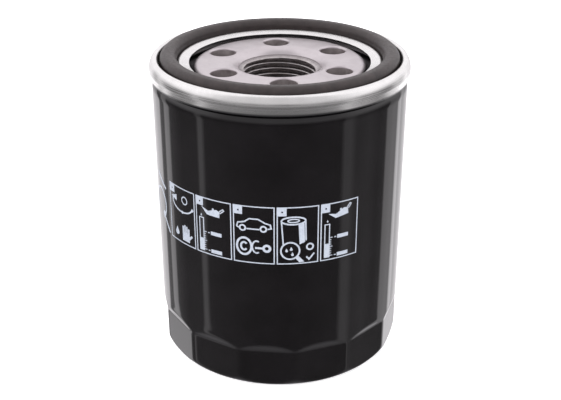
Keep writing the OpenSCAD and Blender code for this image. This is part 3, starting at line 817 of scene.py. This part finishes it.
class Print:
    """Flat ink shapes in (around, up) millimetres, wrapped on the can as thin plates."""
    LIFT = 0.025
    ROOT = -0.01
    STEP = 0.7
    SIDES = 20
    RING_STEPS = 28
    MOST_MITRE = 2.0

    def __init__(self):
        self.shapes = []

    def polygon(self, points):
        self.shapes.append(points)

    def box(self, x, y, w, h):
        self.polygon([(x, y), (x + w, y), (x + w, y + h), (x, y + h)])

    def disc(self, x, y, r):
        self.polygon(arc(x, y, r, 0, 360, self.SIDES)[:-1])

    def line(self, points, width, closed=False):
        """A stroke along points, with mitred corners."""
        count = len(points)
        left = []
        right = []
        for i, (x, y) in enumerate(points):
            before = points[i - 1] if closed or i else points[0]
            after = points[(i + 1) % count] if closed or i < count - 1 else points[-1]
            d0 = Vector((x - before[0], y - before[1]))
            d1 = Vector((after[0] - x, after[1] - y))
            d0 = d0.normalized() if d0.length > 1e-6 else d1.normalized()
            d1 = d1.normalized() if d1.length > 1e-6 else d0
            along = (d0 + d1).normalized()
            reach = width / 2 / max(along.dot(d1), 1 / self.MOST_MITRE)
            left.append((x - along.y * reach, y + along.x * reach))
            right.append((x + along.y * reach, y - along.x * reach))
        spans = count if closed else count - 1
        for i in range(spans):
            k = (i + 1) % count
            self.polygon([right[i], right[k], left[k], left[i]])

    def ring(self, x, y, r, width, start=0, end=360, squash=1.0):
        """A ring or an arc from start to end in degrees, squashed upright by a share."""
        whole = end - start >= 360
        points = [(px, y + squash * py) for px, py in arc(x, 0, r, start, end, self.RING_STEPS)]
        self.line(points[:-1] if whole else points, width, whole)

    def frame(self, x, y, w, h, width):
        self.box(x, y, w, width)
        self.box(x, y + h - width, w, width)
        self.box(x, y + width, width, h - 2 * width)
        self.box(x + w - width, y + width, width, h - 2 * width)

    def wrap(self, name):
        """Cuts the shapes into narrow strips, thickens them and bends them round the can."""
        bm = bmesh.new()
        for points in self.shapes:
            bm.faces.new([bm.verts.new((x, y, 0)) for x, y in points])
        xs = [v.co.x for v in bm.verts]
        place = math.floor(min(xs) / self.STEP) * self.STEP
        while place < max(xs):
            bmesh.ops.bisect_plane(bm, geom=bm.verts[:] + bm.edges[:] + bm.faces[:],
                                   plane_co=(place, 0, 0), plane_no=(1, 0, 0), dist=1e-5)
            place += self.STEP
        made = bmesh.ops.extrude_face_region(bm, geom=bm.faces[:])
        tops = set(g for g in made["geom"] if isinstance(g, bmesh.types.BMVert))
        for v in bm.verts:
            r = CAN_R + (self.LIFT if v in tops else self.ROOT)
            angle = v.co.x / CAN_R - math.pi / 2
            v.co = Vector(polar(r, angle, v.co.y)) * MM
        bmesh.ops.recalc_face_normals(bm, faces=bm.faces)
        mesh = bpy.data.meshes.new(name)
        bm.to_mesh(mesh)
        bm.free()
        mesh.set_sharp_from_angle(angle=math.radians(30))
        obj = bpy.data.objects.new(name, mesh)
        bpy.context.scene.collection.objects.link(obj)
        obj.data.materials.append(INK)
        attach(obj, "shell")


PANEL_W = 10.35
PANEL_H = 15.6
PANEL_PITCH = 10.83
PANEL_Z = 37.5
FIRST_PANEL = -33.25
CORNER = 2.1
NOTCH = 0.42
LINE = 0.28


def panel(n):
    """Panel n's frame and notched corner square, and the place of its lower left corner."""
    ink = Print()
    x = FIRST_PANEL + n * PANEL_PITCH
    ink.frame(x, PANEL_Z, PANEL_W, PANEL_H, LINE)
    left, top = x + LINE, PANEL_Z + PANEL_H - LINE
    cheek = (CORNER - NOTCH) / 2
    ink.box(left, top - CORNER, CORNER, cheek)
    ink.box(left, top - cheek, CORNER, cheek)
    ink.box(left, top - cheek - NOTCH, cheek, NOTCH)
    ink.box(left + cheek + NOTCH, top - cheek - NOTCH, cheek, NOTCH)
    return ink, x, PANEL_Z


def oil_can(ink, x, y, lean):
    """A pouring can, its spout at the left, leaned by lean degrees."""
    c, s = math.cos(math.radians(lean)), math.sin(math.radians(lean))

    def at(points):
        return [(x + c * px - s * py, y + s * px + c * py) for px, py in points]

    body = [(-3.1, 1.35), (-2.9, 1.05), (-1.5, -0.55), (2.1, -0.75), (2.25, 0.9), (1.2, 1.3), (-1.2, 0.5)]
    ink.polygon(at(body))
    ink.line(at([(2.1, 1.0), (3.1, 1.75), (3.4, 1.45), (2.35, 0.55)]), 0.26)
    ink.polygon(at([(0.0, 1.05), (0.7, 1.05), (0.55, 1.5), (0.15, 1.5)]))


def gauge(ink, x, y, fill):
    """A level tube with its ticks, and two short bars that mark its limits."""
    ink.frame(x, y, 1.5, 9.3, 0.27)
    ink.box(x + 0.27, y + 0.27, 0.96, fill)
    for k in range(9):
        ink.box(x + 1.5, y + 0.4 + 0.62 * k, 0.75 if k % 4 == 0 else 0.42, 0.2)
    for bar_y in (0.35, 5.35):
        ink.line([(x + 2.7, y + bar_y + 0.1), (x + 3.2, y + bar_y + 0.1)], 0.28)
        ink.polygon([(x + 3.5, y + bar_y - 0.4), (x + 6.6, y + bar_y - 0.4),
                     (x + 6.6, y + bar_y + 0.6), (x + 3.5, y + bar_y + 0.6)])


def drop(ink, x, y, size):
    """A falling drop, round below and pointed above."""
    points = arc(x, y, size, -200, 20, 12)
    ink.polygon(points + [(x, y + 2.2 * size)])


def make_print():
    # turn the filter by hand
    ink, x, z = panel(0)
    ink.ring(x + 5.6, z + 11.4, 4.0, 0.4, 150, 345, 0.62)
    ink.polygon([(x + 0.9, z + 12.2), (x + 3.3, z + 13.1), (x + 3.3, z + 11.3)])
    ink.disc(x + 9.5, z + 10.6, 0.42)
    ink.disc(x + 5.6, z + 8.9, 0.42)
    ink.ring(x + 6.6, z + 12.4, 1.0, 0.3, 0, 360)
    drop(ink, x + 3.1, z + 2.5, 0.75)
    for k in range(4):
        ink.box(x + 5.4 + 0.72 * k, z + 3.4, 0.56, (1.7, 2.1, 1.9, 1.4)[k])
    ink.polygon([(x + 5.4, z + 1.0), (x + 8.1, z + 1.0), (x + 8.12, z + 3.45), (x + 5.4, z + 3.45)])
    ink.polygon([(x + 8.1, z + 1.7), (x + 9.3, z + 2.9), (x + 8.9, z + 3.3), (x + 8.1, z + 2.7)])
    ink.wrap("print_panel_1")

    # pour and read the level
    ink, x, z = panel(1)
    oil_can(ink, x + 5.0, z + 11.7, 0)
    drop(ink, x + 1.75, z + 10.55, 0.22)
    gauge(ink, x + 1.0, z + 0.75, 3.2)
    ink.wrap("print_panel_2")

    # run the engine
    ink, x, z = panel(2)
    roof = [(0.9, 9.8), (1.2, 10.9), (2.9, 11.3), (4.1, 12.2), (6.3, 12.2), (8.0, 11.2), (9.3, 10.8),
            (9.5, 9.8), (8.6, 9.6)]
    ink.line([(x + px, z + pz) for px, pz in roof], 0.36)
    ink.line([(x + 6.6, z + 9.45), (x + 3.4, z + 9.45)], 0.36)
    ink.line([(x + 0.9, z + 9.8), (x + 1.5, z + 9.6)], 0.36)
    for wheel_x in (2.4, 7.6):
        ink.ring(x + wheel_x, z + 9.6, 0.72, 0.42)
    ink.ring(x + 2.75, z + 4.6, 1.85, 0.55, 0, 360, 1.25)
    ink.ring(x + 2.75, z + 4.6, 0.8, 0.5, 40, 320, 1.3)
    ink.ring(x + 5.9, z + 4.6, 1.1, 0.4, 60, 300, 1.5)
    ink.ring(x + 8.4, z + 4.3, 0.8, 0.65)
    ink.box(x + 5.5, z + 4.05, 2.2, 0.55)
    ink.wrap("print_panel_3")

    # look for leaks
    ink, x, z = panel(3)
    ink.ring(x + 4.1, z + 11.9, 2.95, 0.4, 0, 360, 0.34)
    ink.ring(x + 4.1, z + 11.9, 1.4, 0.3, 0, 360, 0.3)
    ink.line([(x + 1.15, z + 11.8), (x + 1.6, z + 5.4)], 0.34)
    ink.line([(x + 7.05, z + 11.8), (x + 7.2, z + 6.4)], 0.34)
    ink.polygon([(x + 5.3, z + 11.0), (x + 6.75, z + 11.2), (x + 6.95, z + 6.0), (x + 5.6, z + 5.4)])
    ink.ring(x + 3.3, z + 3.7, 2.3, 0.42, 0, 360, 1.0)
    ink.polygon([(x + 4.6, z + 1.6), (x + 5.4, z + 2.2), (x + 6.8, z + 0.55), (x + 5.6, z + 0.4)])
    for dx, dy in ((-0.9, 0.2), (0.25, 0.55), (0.55, -0.9)):
        drop(ink, x + 3.3 + dx, z + 3.5 + dy, 0.33)
    ink.ring(x + 8.2, z + 4.6, 0.8, 0.42)
    ink.line([(x + 7.3, z + 1.9), (x + 8.0, z + 1.1), (x + 9.3, z + 2.7)], 0.42)
    ink.wrap("print_panel_4")

    # top up and read the level again
    ink, x, z = panel(4)
    oil_can(ink, x + 5.3, z + 12.2, 13)
    drop(ink, x + 1.8, z + 10.7, 0.22)
    gauge(ink, x + 1.0, z + 0.75, 3.6)
    ink.wrap("print_panel_5")

    # unframed sketch of a strap wrench before the panels
    ink = Print()
    x = FIRST_PANEL
    ink.line([(x - 8.6, PANEL_Z + 15.2), (x - 2.6, PANEL_Z + 12.2)], 0.7)
    ink.ring(x - 6.6, PANEL_Z + 7.0, 3.6, 0.55, -60, 235, 1.15)
    ink.line([(x - 4.6, PANEL_Z + 4.4), (x - 1.0, PANEL_Z + 0.3)], 0.6)
    ink.disc(x - 4.4, PANEL_Z + 4.4, 0.9)
    ink.wrap("print_sketch")


# ---------------------------------------------------------------- CAD nodes that keep their shape

def finish_nodes():
    """Gives the nodes inside the can, that keep their CAD shape, their materials."""
    finishes = {
        "seam_compound": COMPOUND, "drain_valve_hub": VALVE_RUBBER, "drain_valve_flap": VALVE_RUBBER,
        "upper_end_cap": ZINC, "lower_end_cap": ZINC, "centre_tube": ZINC, "media_clip": ZINC,
        "upper_bond": RESIN, "lower_bond": RESIN, "filter_media": PAPER,
        "bypass_seat": YELLOW_ZINC, "bypass_cage": YELLOW_ZINC, "bypass_poppet": YELLOW_ZINC,
        "bypass_seal": VALVE_RUBBER,
    }
    for name, mat in finishes.items():
        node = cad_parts[name]
        node.data.materials.clear()
        node.data.materials.append(mat)


# ---------------------------------------------------------------- studio

# Tones of the room by direction about the object, from behind it (0) to the camera (1). Bright walls stand
# behind, then dark gaps and strip lights that the can's wall mirrors near its edges.
LEFT_WALL = greys([
    (0.0, 0.57), (0.19, 0.66), (0.236, 0.78), (0.252, 0.18), (0.294, 0.18), (0.302, 0.62), (0.345, 0.62),
    (0.358, 0.15), (0.45, 0.10), (0.56, 0.13), (0.574, 0.46), (0.592, 0.46), (0.612, 0.12), (1.0, 0.07)])
RIGHT_WALL = greys([
    (0.0, 0.57), (0.22, 0.62), (0.238, 0.98), (0.264, 0.98), (0.282, 0.32), (0.31, 0.42), (0.378, 0.47),
    (0.392, 0.11), (0.45, 0.10), (0.52, 0.17), (0.60, 0.17), (0.636, 0.33), (0.668, 0.33), (0.69, 0.10),
    (1.0, 0.07)])
CEILING = greys([(0.0, 0.54), (0.25, 0.54), (0.38, 0.58), (0.60, 0.58), (0.72, 0.36), (1.0, 0.33)])
LOWER_ROOM = (0.22, 0.215, 0.225, 1)
ROOM_STRENGTH = 2.2
FLOOR_HALF = 3.0

CAMERA_BACK = 244.7
CAMERA_UP = 157.8
CAMERA_DOWN_DEG = 25.88
LENS = 63.45


def area_light(name, place, target, size, energy):
    """A rectangular light aimed at target, left out of reflections. Places and sizes are in metres."""
    light = bpy.data.lights.new(name, "AREA")
    light.shape = "RECTANGLE"
    light.size, light.size_y = size
    light.energy = energy
    obj = bpy.data.objects.new(name, light)
    obj.location = place
    obj.rotation_euler = (Vector(target) - Vector(place)).to_track_quat("-Z", "Y").to_euler()
    obj.visible_glossy = False
    bpy.context.scene.collection.objects.link(obj)


def make_room():
    """The world: tones by direction, that the metal and the enamel mirror."""
    world = bpy.data.worlds.new("studio")
    bpy.context.scene.world = world
    world.use_nodes = True
    tree = world.node_tree
    background = tree.nodes["Background"]
    where = tree.nodes.new("ShaderNodeTexCoord")
    split = split_xyz(tree, where.outputs["Generated"])
    turn = math_node(tree, "ARCTAN2", split["X"], split["Y"])
    share = math_node(tree, "DIVIDE", math_node(tree, "ABSOLUTE", turn), math.pi)
    side = math_node(tree, "GREATER_THAN", turn, 0.0)
    wall = mixed(tree, side, ramp(tree, share, LEFT_WALL), ramp(tree, share, RIGHT_WALL))
    # the walls dim towards the horizon, and turn into the ceiling above it and an even grey far below it
    height = split["Z"]
    dim = tree.nodes.new("ShaderNodeVectorMath")
    dim.operation = "SCALE"
    tree.links.new(wall, dim.inputs[0])
    tree.links.new(spread(tree, height, 1.0, 0.7, -0.38, -0.2), dim.inputs["Scale"])
    lower = mixed(tree, spread(tree, height, 0, 1, -0.62, -0.82), dim.outputs[0], LOWER_ROOM)
    upper = mixed(tree, spread(tree, height, 0, 1, -0.08, 0.26), lower, ramp(tree, share, CEILING))
    tree.links.new(upper, background.inputs["Color"])
    background.inputs["Strength"].default_value = ROOM_STRENGTH


def make_studio():
    mesh = bpy.data.meshes.new("floor")
    half = FLOOR_HALF
    corners = [(-half, -half, 0), (half, -half, 0), (half, half, 0), (-half, half, 0)]
    mesh.from_pydata(corners, [], [(0, 1, 2, 3)])
    floor = bpy.data.objects.new("floor", mesh)
    bpy.context.scene.collection.objects.link(floor)
    floor.data.materials.append(plain_floor())
    floor.visible_glossy = False

    make_room()
    area_light("overhead", (0.0, 0.10, 0.55), (0, 0, 0.06), (0.7, 0.7), 3)
    area_light("front_fill", (-0.1, -0.6, 0.5), (0, 0, 0.05), (0.8, 0.5), 5)


def make_camera():
    """The photograph's viewpoint: 24 cm in front of the axis, 16 cm up, looking 26 degrees down."""
    data = bpy.data.cameras.new("camera")
    data.sensor_width = 36
    data.lens = LENS
    data.clip_start = 0.01
    data.shift_x = 0.0012
    camera = bpy.data.objects.new("camera", data)
    camera.location = (0, -CAMERA_BACK * MM, CAMERA_UP * MM)
    camera.rotation_euler = (math.radians(90 - CAMERA_DOWN_DEG), 0, 0)
    bpy.context.scene.collection.objects.link(camera)
    bpy.context.scene.camera = camera


make_can()
make_lid()
make_gasket()
make_base_plate()
make_spring("support_coil", "support_spring", SUPPORT_SPRING, "shell")
make_spring("bypass_coil", "bypass_spring", BYPASS_SPRING, "element")
make_print()
finish_nodes()
make_studio()
make_camera()
bpy.context.scene.view_settings.view_transform = "Standard"
